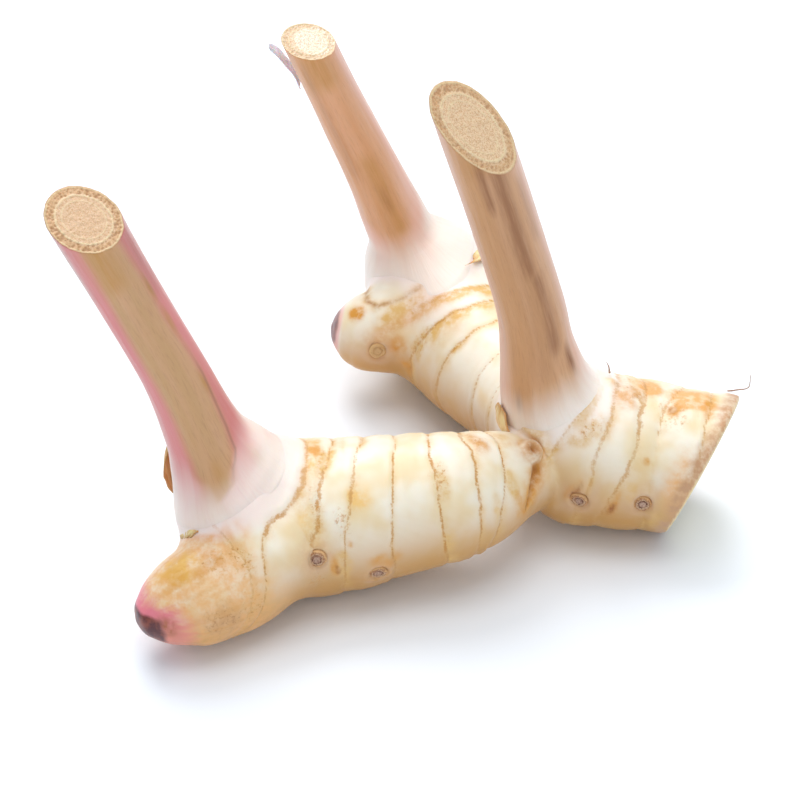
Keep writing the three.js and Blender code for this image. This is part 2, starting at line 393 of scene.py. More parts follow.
def normals_of(points, quads):
    """A smooth unit normal for each vertex."""
    total = np.zeros_like(points)
    for corner in range(4):
        np.add.at(total, quads[:, corner], crossed(points, quads))
    return unit(total)


def facing_out(points, quads):
    """The same quads, turned over if the closed mesh is inside out."""
    volume = (points[quads[:, 0]] * crossed(points, quads)).sum()
    return quads if volume > 0 else quads[:, ::-1]


def make_piece(name, points, faces, material, slot, node, **attributes):
    """A Blender mesh from points in millimetres, riding on the root and replacing a CAD node."""
    mesh = bpy.data.meshes.new(name)
    mesh.from_pydata((points * MM).tolist(), [], [list(map(int, face)) for face in faces])
    for key, values in attributes.items():
        kind, field = ("FLOAT", "value") if np.ndim(values) == 1 else ("FLOAT_VECTOR", "vector")
        layer = mesh.attributes.new(key, kind, "POINT")
        layer.data.foreach_set(field, np.ascontiguousarray(values, np.float32).ravel())
    mesh.polygons.foreach_set("use_smooth", np.ones(len(mesh.polygons), bool))
    mesh.materials.append(material)
    mesh.update()
    piece = bpy.data.objects.new(name, mesh)
    bpy.context.scene.collection.objects.link(piece)
    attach(piece, "root")
    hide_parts(node)


# Marks on the rhizome.

# Leaf scars around each limb: the station at its near side, top, far side and bottom, how dark
# its line is, how wide its tan band is, and how strong the band is.
RINGS = {
    "frontFinger": [
        (5.42, 5.1, 5.7, 5.4, 0.6, 3.2, 1.0), (4.9, 4.27, 4.3, 4.8, 0.8, 1.6, 0.8),
        (4.24, 3.67, 3.7, 4.2, 0.7, 1.2, 0.7), (3.37, 3.05, 3.1, 3.4, 0.9, 0.7, 0.5),
        (2.44, 2.43, 2.5, 2.45, 1.0, 1.6, 0.7), (2.08, 2.0, 1.98, 2.05, 0.9, 0.8, 0.6),
        (1.9, 1.53, 1.5, 1.85, 1.0, 1.8, 0.9),
    ],
    "rightBranch": [
        (4.2, 4.75, 4.6, 3.6, 0.35, 2.4, 0.8), (3.12, 3.27, 3.2, 3.0, 0.5, 1.0, 0.7),
        (2.85, 2.65, 2.7, 2.75, 0.7, 2.0, 0.9), (1.9, 1.47, 1.5, 1.9, 0.6, 2.0, 0.9),
        (0.95, 0.6, 0.6, 0.95, 0.7, 2.4, 1.0),
    ],
    "backBranch": [
        (2.75, 2.38, 2.5, 2.8, 0.2, 3.4, 1.5),
        (2.28, 2.05, 2.1, 2.3, 0.7, 2.8, 1.5), (1.78, 1.68, 1.7, 1.8, 0.7, 1.0, 0.9),
        (1.07, 1.18, 1.2, 1.1, 0.6, 0.8, 0.6), (0.5, 0.5, 0.5, 0.5, 0.5, 0.8, 0.5),
    ],
    "frontBud": [
        (1.15, -0.5, -0.3, 1.6, 0.8, 1.0, 0.7), (1.62, 0.68, 0.95, 1.9, 0.35, 1.7, 0.6),
    ],
    "backBud": [(1.0, 0.4, 0.4, 1.0, 0, 1.0, 0.1)],
}

# Cut-off roots: limb, station and turn, as in the CAD.
STUMPS = [
    ("frontFinger", 4.62, 10), ("frontFinger", 3.5, -15), ("rightBranch", 3.28, -22),
    ("rightBranch", 2.2, -3), ("backBud", 1.82, 6), ("frontFinger", 2.7, 200),
    ("frontFinger", 4.4, 215), ("rightBranch", 1.9, 160), ("rightBranch", 1.5, 205),
    ("backBranch", 1.6, 175), ("backBranch", 2.5, 200),
]
HALO_WIDTH = 3.7  # how far the skin is stained around a stump
BLUSH = {"front_stem": 0.14, "middle_stem": 0.04, "back_stem": 0.1}  # pink below each stem

# Stains on each limb's skin, two of them partly painted shade: station, turn, size along and
# around in mm, kind and strength.
STAINS_AND_CREASE_SHADE = {
    "frontFinger": [
        (5.12, 74, 2.2, 5.0, "tan", 1.0), (5.05, 80, 1.2, 3.5, "speck", 1.0),
        (4.42, 96, 1.5, 2.6, "ochre", 0.9), (4.5, 50, 1.6, 4.5, "speck", 0.9),
        (3.6, 50, 3.0, 2.8, "yellow", 1.0), (3.98, 34, 1.6, 4.5, "speck", 0.8),
        (4.25, 2, 1.0, 2.6, "ochre", 1.2), (4.2, -2, 0.6, 1.4, "brown", 0.8),
        (4.1, 2, 2.4, 3.5, "tan", 0.9), (3.87, 18, 0.7, 1.0, "ochre", 0.9),
        (3.34, -3, 3.6, 2.4, "ochre", 1.0), (4.75, -8, 3.5, 2.0, "speck", 1.0),
        (2.3, 58, 2.0, 4.2, "speck", 0.9), (2.3, 50, 2.0, 5.0, "tan", 0.6),
        (1.62, 90, 2.4, 4.0, "ochre", 0.8), (1.6, 95, 2.6, 4.0, "speck", 0.8),
        # On the front finger, the tan patch at station 1.45 and the ochre patch at station 1.4 lie
        # in the junction's crease: partly painted shade, the darkening into the crease, and partly
        # the skin's own tan and ochre.
        (5.15, 30, 2.5, 2.5, "yellow", 0.7), (1.45, 34, 1.6, 5.0, "tan", 0.9),
        (1.4, 12, 1.6, 4.0, "ochre", 0.7), (1.75, 15, 1.5, 4.0, "tan", 0.6),
        (1.2, 90, 3.0, 3.0, "tan", 0.8),
    ],
    "rightBranch": [
        (3.5, 74, 3.2, 5.0, "ochre", 0.8), (3.4, 80, 2.8, 4.0, "speck", 0.8),
        (2.27, 96, 3.0, 4.4, "peach", 1.3), (2.3, 92, 2.4, 3.0, "speck", 0.6),
        (1.0, 97, 5.4, 6.5, "peach", 1.3), (0.5, 90, 2.0, 5.5, "ochre", 0.9),
        (1.2, 80, 4.0, 5.0, "speck", 0.8), (1.2, 80, 1.8, 2.2, "ochre", 1.2),
        (1.25, 80, 1.0, 1.2, "brown", 0.7), (0.95, 12, 4.0, 9.0, "peach", 0.8),
        (1.2, -18, 4.0, 6.0, "tan", 0.9), (3.42, -16, 0.7, 2.2, "brown", 1.0),
        (3.46, -20, 1.4, 3.4, "ochre", 0.9), (2.85, -16, 0.7, 2.4, "brown", 1.0),
        (2.85, -12, 1.0, 4.4, "ochre", 1.0), (2.5, 30, 0.8, 1.0, "ochre", 1.0),
        (4.6, 20, 2.6, 5.0, "tan", 0.8), (4.62, 24, 2.0, 4.0, "speck", 1.0),
        (2.7, 5, 1.6, 5.0, "tan", 0.7),
    ],
    "backBranch": [
        (2.7, 30, 2.4, 9.0, "tan", 0.9), (2.8, 2, 2.0, 2.6, "ochre", 0.9),
        (2.27, -2, 1.5, 3.4, "ochre", 1.0), (2.15, 22, 2.2, 6.0, "tan", 0.9),
        (2.15, 25, 2.0, 5.0, "speck", 0.8),
    ],
    "backBud": [
        (2.7, 62, 2.4, 2.6, "ochre", 1.2), (1.3, 12, 2.4, 3.0, "ochre", 1.0),
    ],
    "frontBud": [
        (2.75, 88, 4.8, 4.6, "yellow", 1.4), (3.1, 80, 3.6, 3.6, "ochre", 0.55),
        (1.3, 66, 6.0, 7.0, "peach", 0.6), (1.8, 70, 3.2, 3.4, "speck", 1.0),
        (0.9, 58, 2.4, 4.6, "speck", 1.0), (2.2, 62, 2.0, 2.0, "ochre", 0.7),
        (1.7, 66, 2.6, 2.6, "ochre", 0.5), (2.1, 2, 4.6, 5.0, "fuzz", 1.0),
        (1.5, 5, 3.0, 5.0, "speck", 0.8),
    ],
}
STAIN_KINDS = ("tan", "ochre", "brown", "yellow", "peach", "speck", "fuzz")


def no_marks(points, kinds):
    """A mask of zeros for each kind."""
    return {kind: np.zeros(len(points)) for kind in kinds}


def deepen(marks, kind, value):
    """Raise the mask of a kind to a value wherever that is more."""
    marks[kind] = np.maximum(marks[kind], value)


def around_limb(values, turn):
    """A value at a turn, running smoothly through its near, top, far and bottom values."""
    near, top, far, bottom = values
    angle = np.radians(turn)
    mean = (near + top + far + bottom) / 4
    tilt = (near - far) / 2 * np.cos(angle) + (top - bottom) / 2 * np.sin(angle)
    return mean + tilt + (near + far - top - bottom) / 4 * np.cos(2 * angle)


def owners(found, names):
    """The name of the limb whose surface is nearest to each point, as an index into names."""
    return np.array([found[name][0] for name in names]).argmin(0)


NO_RING = 9.0  # this far along the skin from a ring, nothing of it shows


def ring_marks(points, found):
    """How far each point is along the skin from the nearest ring, and that ring's line and band."""
    names = list(RINGS)
    owner = owners(found, names)
    gap = np.full(len(points), NO_RING)
    darkness = np.zeros(len(points))
    tan = np.zeros(len(points))
    wander = 0.7 * rough(points, 7) + 0.2 * noise(points, 1.6)
    for index, name in enumerate(names):
        rows = np.flatnonzero(owner == index)
        station = found[name][1][rows]
        turn = limbs[name].turn_of(points[rows], station)
        pace = limbs[name].pace(station, turn)
        share = 0.55 + 0.9 * noise(points[rows], 7)
        uneven = 1 + 0.6 * noise(points[rows] + 3.1, 4)
        for *stations, line, width, strength in RINGS[name]:
            along = (station - around_limb(stations, turn)) * pace + wander[rows]
            closer = np.abs(along) < np.abs(gap[rows])
            gap[rows] = np.where(closer, along, gap[rows])
            darkness[rows] = np.where(closer, line, darkness[rows])
            side = np.where(along < 0, np.maximum(width * uneven, 0.3), 0.35)
            tan[rows] = np.maximum(tan[rows], strength * share * hump(along, side))
    return gap, darkness, np.clip(tan, 0, 1)


def spot(points, limb, station, turn, along, around):
    """A patch on a limb's skin: 1 at its middle, falling off over its two sizes."""
    forward, _, _ = limbs[limb].frame_at(station)
    arm = points - limbs[limb].skin(station, turn)[0]
    lengthwise = arm @ forward
    crosswise = np.linalg.norm(arm - lengthwise[:, None] * forward, axis=1)
    return hump(lengthwise, along) * hump(crosswise, around)


STEPS_TO_SKIN = 6  # steps that find the smooth skin under a stump


def stump_place(limb, station, turn):
    """The middle of a root stump on the smooth skin, and the way out."""
    place, out = limbs[limb].skin(station, turn)
    for _ in range(STEPS_TO_SKIN):
        place = place - out * body_distance(survey(place[None]))[0]
    return place, out


KNOB = ((23.6, -25.1, 28.4), 3.4, 2.0)  # the knob at the junction: place, size and height
DIMPLE = ((23.5, -25.9, 29.2), 1.3, 1.6)  # the hollow in its top
NUB = ((42.1, -10.5, 37.4), 1.6, 0.8)  # the dry end of a rootlet on the right branch
CRACK = ((25.3, -28.0, 25.9), (24.1, -31.7, 24.0), (22.5, -35.1, 20.6))  # below the knob
CRACK_DEPTH = 1.4
RIDGE = ((20.5, -18.5, 31.0), (26.2, -21.6, 29.8), (27.6, -24.0, 25.6))  # round its right side
RIDGE_HEIGHT = 0.9
BASE_LINE = (  # the scar round the base of the back stem
    (-13.3, 42.0, 27.2), (-13.1, 35.1, 28.3), (-10.9, 32.7, 28.4), (-8.0, 33.0, 29.0),
    (-5.1, 33.7, 29.6), (-0.2, 35.9, 32.0),
)
BASE_BAND = ((-11.5, 26.0, 20.0), (-8.7, 28.0, 24.7), (-2.7, 29.7, 26.7), (4.5, 32.4, 31.5))


def beside(points, line):
    """How far points are from a line through some places, and how far along it they are."""
    places = np.array(line, float)
    apart = np.full(len(points), np.inf)
    share = np.zeros(len(points))
    for index, (start, end) in enumerate(zip(places[:-1], places[1:])):
        run = end - start
        along = np.clip((points - start) @ run / (run @ run), 0, 1)
        here = np.linalg.norm(points - start - along[:, None] * run, axis=1)
        share = np.where(here < apart, (index + along) / (len(places) - 1), share)
        apart = np.minimum(apart, here)
    return apart, share


def junction_marks(points):
    """How far the skin moves at the junction, and the stains there by kind."""
    stains = no_marks(points, ("brown", "ochre", "tan"))
    place, size, height = KNOB
    apart = away(points, place)
    move = height * smooth(size, 0.45 * size, apart)
    deepen(stains, "ochre", 0.8 * hump(apart - 0.9 * size, 0.8))
    place, size, height = DIMPLE
    apart = away(points, place)
    move -= height * hump(apart, size)
    deepen(stains, "brown", 0.9 * hump(apart, 1.3 * size))
    deepen(stains, "ochre", hump(apart, 2.6 * size))
    apart, share = beside(points, CRACK)
    width = 1.8 - 1.4 * share
    move -= CRACK_DEPTH * hump(apart, width)
    deepen(stains, "brown", 0.8 * hump(apart, 0.8 * width))
    deepen(stains, "ochre", 1.2 * hump(apart, 3.0))
    apart, _ = beside(points, RIDGE)
    move += RIDGE_HEIGHT * hump(apart, 1.0)
    deepen(stains, "tan", 0.8 * hump(apart, 2.0))
    apart, share = beside(points, BASE_LINE)
    deepen(stains, "brown", (0.8 - 0.5 * share) * hump(apart, 0.6))
    deepen(stains, "tan", (1 - 0.4 * share) * hump(apart, 1.4))
    apart, share = beside(points, BASE_BAND)
    deepen(stains, "ochre", (0.9 - 0.4 * share) * hump(apart + 0.6 * noise(points, 3), 1.8))
    place, size, height = NUB
    nub = hump(away(points, place), size)
    deepen(stains, "tan", 0.8 * nub)
    return move + height * nub, stains


def base_marks(points, found):
    """Where the skin is smooth, white and pink around the base of each stem."""
    flush, white, blush = np.zeros((3, len(points)))
    for name, design in STEMS.items():
        own = np.minimum(found[design["limb"]][0], found[design["heel"]][0])
        over = height_over(design["base"], points)
        on_limb = smooth(2.5, 0.5, own)
        flush = np.maximum(flush, smooth(-4, -1, over) * on_limb)
        white = np.maximum(white, smooth(-9, -1, over) * on_limb)
        blush = np.maximum(blush, BLUSH[name] * smooth(-7, 1, over) * on_limb)
    return flush, white, blush


def stain_and_crease_shade_marks(points):
    """The stains on the skin by kind, two of them partly painted shade in the junction's crease."""
    marks = no_marks(points, STAIN_KINDS)
    for limb, stains in STAINS_AND_CREASE_SHADE.items():
        for *where, kind, strength in stains:
            patch = spot(points, limb, *where)
            patch = smooth(0.1, 0.9, patch * (1 + 0.7 * rough(points, 2.5)))
            deepen(marks, kind, strength * patch)
    return marks


def stump_marks(points):
    """How far the skin moves around each root stump, and how stained it is there."""
    move, halo = np.zeros((2, len(points)))
    for where in STUMPS:
        apart = away(points, stump_place(*where)[0])
        halo = np.maximum(halo, hump(apart * (1 + 0.25 * noise(points, 2)), HALO_WIDTH))
        move += 0.35 * hump(apart - 2.6, 1.3) - 0.6 * smooth(2.5, 1.9, apart)
    return move, halo


def bud_marks(points, found):
    """The masks that colour the two buds."""
    distance, station = found["frontBud"]
    turn = limbs["frontBud"].turn_of(points, station)
    parent = np.minimum(found["frontFinger"][0], found["frontHeel"][0])
    on_bud = smooth(1.0, -0.2, distance - parent)
    upper = np.sin(np.radians(turn))
    rays = np.stack([9 * np.cos(np.radians(turn)), 9 * upper, 0.4 * station], 1)
    rays = noise(rays, 0.5) * smooth(1.0, 2.2, station) * on_bud
    pink_from = 2.5 + 1.3 * smooth(0.45, 1, upper)
    purple_from = 4.3 + 1.15 * smooth(0.4, 1, upper)
    pink = on_bud * smooth(0, 1.3, station - pink_from + 0.3 * rays + 0.3 * rough(points, 5))
    pink *= 0.62 + 0.38 * smooth(-0.3, 0.8, upper)
    purple = on_bud * smooth(-0.15, 0.2, station - purple_from + 0.12 * noise(points, 1.5))
    rust = on_bud * hump(station - purple_from + 0.2, 0.4) * smooth(0.75, 0.3, upper)
    rust *= 0.9 * smooth(-0.3, 0.1, upper)
    peach = 0.78 * on_bud * smooth(-0.2, 1.5, station)

    distance, station = found["backBud"]
    on_back = smooth(1.0, -0.2, distance - found["backBranch"][0])
    station = station + 0.15 * noise(points, 2)
    pink = np.maximum(pink, 0.5 * on_back * smooth(3.6, 4.5, station))
    purple = np.maximum(purple, 0.9 * on_back * smooth(4.5, 4.9, station))
    return {"rays": rays, "pink": pink, "purple": purple}, {"brown": rust, "peach": peach}


def rhizome_piece(material):
    """The rhizome: its smooth skin, raised and grooved at the rings, with marks for its colours and
    for the painted shade on its lower sides.
    """
    points, quads = rhizome_mesh()
    quads = facing_out(points, quads)
    out = normals_of(points, quads)
    found = survey(points)
    over_cut = height_over(RIGHT_CUT, points)
    flush, white, blush = base_marks(points, found)
    skin = smooth(0, -0.8, over_cut) * smooth(-0.05, 1.2, points[:, 2])
    buried = smooth(0.15, 0.5, -body_distance(found)) * smooth(1.5, 4, points[:, 2])
    skin *= (1 - buried) * (1 - flush)

    gap, line, tan = ring_marks(points, found)
    bulge = 0.35 * (1 - hump(gap, 2.6)) - 0.2
    lip = 0.2 * hump(gap - 0.9, 0.8) - 0.25 * line * hump(gap, 0.6)
    stump_move, halo = stump_marks(points)
    junction_move, junction_stains = junction_marks(points)
    move = skin * (bulge + lip + stump_move + 0.12 * rough(points, 8) + 0.02 * noise(points, 1.3))
    move += junction_move

    marks, bud_stains = bud_marks(points, found)
    deepen(marks, "pink", blush)
    # Stains, with some painted shade in the junction's crease.
    stains = stain_and_crease_shade_marks(points)
    for more in ({"tan": tan}, junction_stains, bud_stains):
        for kind, value in more.items():
            deepen(stains, kind, value)
    flesh = smooth(-0.5, -0.1, over_cut)
    edge = smooth(-4.5, -1.5, over_cut + 0.8 * rough(points, 2.5)) * (1 - flesh)

    points = points + out * move[:, None]
    points[:, 2] = np.maximum(points[:, 2], 0)
    # under: the lower sides, facing down or sideways, turn a darker tan; this is partly painted
    # shade and partly the skin's own tan.
    make_piece(
        "rhizome_skin", points, quads, material, "skin", "rhizome",
        ring=np.abs(gap), line=line, under=smooth(0.75, -0.5, out[:, 2]), halo=halo,
        white=white, flesh=flesh, cut_edge=edge, **marks, **stains,
    )


# The stems.

# The inner sheath shows at the near side of each stem, with the pinker outer sheath around it:
# height as a share of the stem's, and the turns of its left and right edges.
PANELS = {
    "front_stem": (
        (-0.1, -14, -12), (0.05, -22, -14), (0.07, -26, 6), (0.1, -30, 14), (0.13, -36, 28),
        (0.2, -38, 38), (0.3, -38, 44), (0.4, -40, 49), (0.5, -41, 49), (0.63, -38, 42),
        (0.75, -34, 46), (0.87, -27, 40), (1.2, -30, 30),
    ),
    "middle_stem": ((-0.1, -62, 48), (0.5, -70, 58), (1.2, -64, 44)),
    "back_stem": (
        (-0.1, 30, 38), (0.12, 20, 48), (0.24, -20, 88), (0.5, -30, 104), (1.2, -26, 100),
    ),
}
WHITE_BASE = {"front_stem": 0.11, "middle_stem": 0.15, "back_stem": 0.18}  # height of the white
SEAM = {"front_stem": 1, "middle_stem": 0, "back_stem": 0}  # how dark the sheath's edge is
PANEL_EDGE = {"front_stem": 12, "middle_stem": 18, "back_stem": 24}  # how soft its edges are

# Stripes along each stem, one of them partly painted shade: kind, turn, half width in turns,
# from and to as a share of its height, and strength.
STRIPES_AND_SHADE = {
    "front_stem": [
        # On the front stem, the brown stripe at -84 turns near the top is partly painted shade
        # under the cut and partly the flank's darker mauve.
        ("brown", 66, 26, 0.7, 1.1, 0.3), ("brown", -84, 30, 0.78, 1.1, 0.35),
        ("ochre", -8, 24, 0.8, 1.1, 0.9), ("ochre", 44, 5, 0.7, 0.75, 0.8),
        ("ochre", 47, 5, 0.57, 0.63, 0.8), ("ochre", 43, 5, 0.35, 0.39, 1.0),
        ("ochre", -6, 7, 0.1, 0.13, 0.6), ("ochre", 42, 6, 0.05, 0.08, 0.8),
        ("ochre", -30, 14, 0.02, 0.06, 0.6),
    ],
    "middle_stem": [
        ("brown", -14, 9, 0.76, 0.92, 0.8), ("brown", 12, 16, 0.5, 0.9, 0.75),
        ("brown", 22, 14, 0.22, 0.5, 0.7), ("brown", 2, 30, 0.16, 0.8, 0.2),
        ("brown", 44, 7, 0.13, 0.2, 1.0), ("brown", -46, 5, 0.08, 0.11, 0.9),
        ("brown", 48, 12, 0.6, 0.8, 0.3), ("ochre", 0, 40, 0.9, 1.1, 0.7),
    ],
    "back_stem": [
        ("ochre", 40, 40, 0.84, 1.1, 0.8), ("brown", 51, 9, 0.27, 0.36, 0.35),
        ("ochre", 50, 22, 0.16, 0.5, 0.7), ("brown", 10, 12, 0.45, 0.95, 0.25),
    ],
}

# The cut faces: how lopsided each one's outer band is, its rows of hollow cells as a share of the
# radius and a count, and its pale rings as a share of the radius, half width and strength.
LOPSIDED = {"front_stem": 0.03, "middle_stem": 0.02, "back_stem": 0.22}
CELL_ROWS = ((0.92, 52), (0.85, 44), (0.78, 38))
PALE_RINGS = ((0.72, 0.022, 1.0), (0.56, 0.018, 0.7), (0.96, 0.025, 0.8))


def skin_points(design, station, turn, normal):
    """Where ways out from a stem's axis leave the stem, each way square to a normal."""
    limb = limbs[design["limb"]]
    middle = limb.at(station)
    forward, _, _ = limb.frame_at(station)
    out = limb.outward(station, turn)
    slant = (out * normal).sum(1) / (forward * normal).sum(1)
    way = unit(out - forward * slant[:, None])
    reach = middle[:, 3].copy()
    own = (design["limb"], design["heel"])
    for _ in range(STEPS_OUT):
        reach -= stem_distance(survey(middle[:, :3] + way * reach[:, None], own), design)
    return middle[:, :3] + way * reach[:, None]


def station_at(limb, plane, height):
    """The station where a limb's axis stands at a height over a plane through it."""
    point, out = plane
    place = np.array(point, float) + unit(np.array(out, float)) * height
    return limbs[limb].nearest(place[None])[1][0]


def tube_normals(points, rows):
    """Unit normals of a tube of points, row after row, pointing out of it."""
    grid = points.reshape(rows, -1, 3)
    across = np.roll(grid, -1, 1) - np.roll(grid, 1, 1)
    normal = unit(np.cross(across, np.gradient(grid, axis=0)))
    inside_out = (normal * (grid - grid.mean(1, keepdims=True))).sum() < 0
    return (-normal if inside_out else normal).reshape(-1, 3)


def stem_marks(name, height, turn, grain):
    """The masks that colour a stem's side, with a painted highlight toward its outline and some
    painted shade among its stripes.
    """
    marks = no_marks(turn, ("ochre", "brown"))
    streak = 0.5 + 0.5 * rough(grain, 2.2)
    for kind, centre, width, low, high, strength in STRIPES_AND_SHADE[name]:
        apart = (turn - centre + 180) % 360 - 180
        ends = smooth(low - 0.05, low + 0.03, height) * smooth(high + 0.05, high - 0.03, height)
        deepen(marks, kind, strength * hump(apart, width * (0.8 + 0.4 * streak)) * ends)

    levels, left, right = np.array(PANELS[name]).T
    left = turn - np.interp(height, levels, left)
    right = np.interp(height, levels, right) - turn
    soft = PANEL_EDGE[name]
    marks["pink"] = 1 - smooth(-soft, soft, left) * smooth(-soft, soft, right)
    outside = -np.minimum(left, right)
    # pale: a painted highlight; the pink flanks lighten toward white on both sides of the panel,
    # toward the stem's outline.
    marks["pale"] = smooth(24, 65, outside) * smooth(115, 75, outside)
    fray = 0.015 * rough(grain * (1, 1, 0.4), 1.2)
    white_to = WHITE_BASE[name] * (1 + 0.9 * SEAM[name] * marks["pink"])
    marks["white"] = (1 - BLUSH[name]) * smooth(white_to, 0, height + fray)
    past = -right + 4 * rough(grain, 3)
    lower = smooth(0.9, 0.6, height)
    marks["sheath"] = SEAM[name] * smooth(-3, 3, past) * smooth(90, 40, past) * lower
    crease = smooth(0.06, 0.12, height) * smooth(0.5, 0.35, height)
    marks["seam"] = SEAM[name] * hump(past, 2) * crease
    return marks


def cell_marks(rim, middle, points):
    """The hollow cells of a cut face, which lie in rows around its middle."""
    cell = np.zeros(len(points))
    wobble = 0.15 * noise(points, 0.6)[:, None]
    for row, count in CELL_ROWS:
        places = rng.random(count) * 0.6 + np.arange(count)
        columns = (places / count * len(rim)).astype(int) % len(rim)
        depths = row + 0.05 * (rng.random(count) - 0.5)
        centres = middle + depths[:, None] * (rim[columns] - middle)
        sizes = 0.16 + 0.2 * rng.random(count)
        apart = np.linalg.norm(points[:, None] - centres, axis=2) + wobble
        cell = np.maximum(cell, smooth(1.1, 0.5, apart / sizes).max(1))
    return cell


def cut_face(rim, plane, cap_rows, lopsided):
    """A cut face from its rim inwards: its points with the middle last, and their masks.

    The outer band may be lopsided, wider at the left than at the right.
    """
    middle = rim.mean(0)
    normal = unit(np.array(plane[1], float))
    spokes = rim - middle
    share = 1 - np.arange(1, cap_rows + 1) / (cap_rows + 1)
    points = (middle + share[:, None, None] * spokes[None]).reshape(-1, 3)
    radius = np.repeat(share, len(rim))
    cell = cell_marks(rim, middle, points)
    grit = noise(points, 0.45)
    ring = np.zeros(len(points))
    for place, width, strength in PALE_RINGS:
        ring += strength * hump(radius + 0.012 * grit - place, width)
    rightwards = spokes @ np.array([1, 0.3, 0]) / np.linalg.norm(spokes, axis=1)
    band = smooth(0.74, 0.82, radius - lopsided * (np.tile(rightwards, cap_rows) - 0.2))
    lift = -0.2 * cell + 0.1 * ring + 0.07 * grit + 0.06 * noise(points, 1.5)
    points = np.vstack([points + normal * lift[:, None], middle + normal * 0.02])
    return points, {"cell": cell, "ring": ring, "band": band}


def tube_faces(rows, columns, first_end, last_end):
    """Faces of a tube of points, row after row, each row a closed loop of columns.

    Each end has one face across it, or a fan of them around a point given by its number.
    """
    row, column = np.meshgrid(np.arange(rows - 1), np.arange(columns), indexing="ij")
    after = (column + 1) % columns
    quads = np.stack([row * columns + column, row * columns + after,
                      (row + 1) * columns + after, (row + 1) * columns + column], -1)
    faces = quads.reshape(-1, 4).tolist()
    first = list(range(columns))[::-1]
    last = list(range((rows - 1) * columns, rows * columns))
    for loop, end in ((first, first_end), (last, last_end)):
        if end is None:
            faces.append(loop)
        else:
            faces += [[here, there, end] for here, there in zip(loop, loop[1:] + loop[:1])]
    return faces


def stem_piece(name, design, material, slot):
    """A stem: fibrous sides from just below its base to its trim, and its cut face."""
    rows = STEM_ROWS + 1
    share = (np.arange(rows) / STEM_ROWS) ** CLOSER_AT_BASE
    start = station_at(design["limb"], design["base"], -OVERLAP)
    end = station_at(design["limb"], design["trim"], 0)
    ways = [unit(np.array(design[key][1], float)) for key in ("base", "trim")]
    normal = unit(ways[0] + share[:, None] ** 2 * (ways[1] - ways[0]))
    station = np.repeat(start + share * (end - start), STEM_SIDES)
    turn = np.tile(np.arange(STEM_SIDES) * 360 / STEM_SIDES - 180, rows)
    points = skin_points(design, station, turn, np.repeat(normal, STEM_SIDES, 0))
    out = tube_normals(points, rows)

    over = height_over(design["base"], points)
    length = height_over(design["base"], np.array([design["trim"][0]], float))[0]
    angle = np.radians(turn)
    around = GRAIN_AROUND * np.stack([np.cos(angle), np.sin(angle)], 1)
    grain = np.column_stack([around, over / FIBRE_LENGTH])
    marks = stem_marks(name, over / length, turn, grain)
    sheath = marks.pop("sheath")
    fibres = 0.07 * noise(grain, 1.0) + 0.04 * noise(grain, 0.45)
    move = smooth(0, 2, over) * (fibres + 0.22 * sheath - 0.1)
    move -= DIP * (0.4 * smooth(2.5, -1, over) + 0.6 * smooth(-1, -OVERLAP, over))
    points = points + out * move[:, None]

    face, masks = cut_face(points[-STEM_SIDES:], design["trim"], CAP_ROWS, LOPSIDED[name])
    sides = len(points)
    count = sides + len(face)
    attributes = {key: np.append(values, np.zeros(len(face) + 1)) for key, values in marks.items()}
    for key, values in masks.items():
        attributes[key] = np.concatenate([np.zeros(sides), values, [0, 0]])
    attributes["cut"] = np.concatenate([np.zeros(sides), np.ones(len(face)), [0]])
    points = np.vstack([points, face, points[:STEM_SIDES].mean(0)])
    attributes["grain"] = np.vstack([grain, points[sides:]])
    faces = tube_faces(rows + CAP_ROWS, STEM_SIDES, count, count - 1)
    make_piece(name + "_skin", points, faces, material, slot, name, **attributes)


# Root stumps, dry scales and rootlets.

STUMP_PROFILE = np.array([  # radius and height over the skin, from the socket to the middle
    (2.2, -1.2), (2.2, -0.15), (2.0, 0.1), (1.75, 0.25), (1.5, 0.42), (1.3, 0.3), (1.1, 0.15),
    (0.9, 0.3), (0.65, 0.42), (0.4, 0.36), (0.2, 0.3),
])
STUMP_MIDDLE = 0.26  # height of its middle
STUMP_SIDES = 40


def stump_piece(number, limb, station, turn, material):
    """A cut-off root: a ring of bark around a pale core, sunk in its socket."""
    place, out = stump_place(limb, station, turn)
    across = unit(np.cross(out, [0.3, 0.2, 1]))
    down = np.cross(out, across)
    angle = np.arange(STUMP_SIDES) * 2 * np.pi / STUMP_SIDES
    spokes = np.cos(angle)[:, None] * across + np.sin(angle)[:, None] * down
    rings = [place + radius * spokes + height * out for radius, height in STUMP_PROFILE]
    points = np.vstack(rings + [place + STUMP_MIDDLE * out])
    radius = np.append(np.repeat(STUMP_PROFILE[:, 0], STUMP_SIDES), 0)
    shake = 0.14 * noise(points, 0.7) + 0.08 * noise(points, 0.35)
    arm = points - place
    arm -= out * (arm @ out)[:, None]
    points = points + out * shake[:, None] + arm * (0.14 * noise(points, 1.6) - 0.08)[:, None]
    faces = tube_faces(len(STUMP_PROFILE), STUMP_SIDES, None, len(points) - 1)
    make_piece(
        f"stump_{number}", points, faces, material, "root_stump", f"root_stump_{number}",
        radius=radius, faint=np.full(len(points), float(limb == "backBud")),
    )


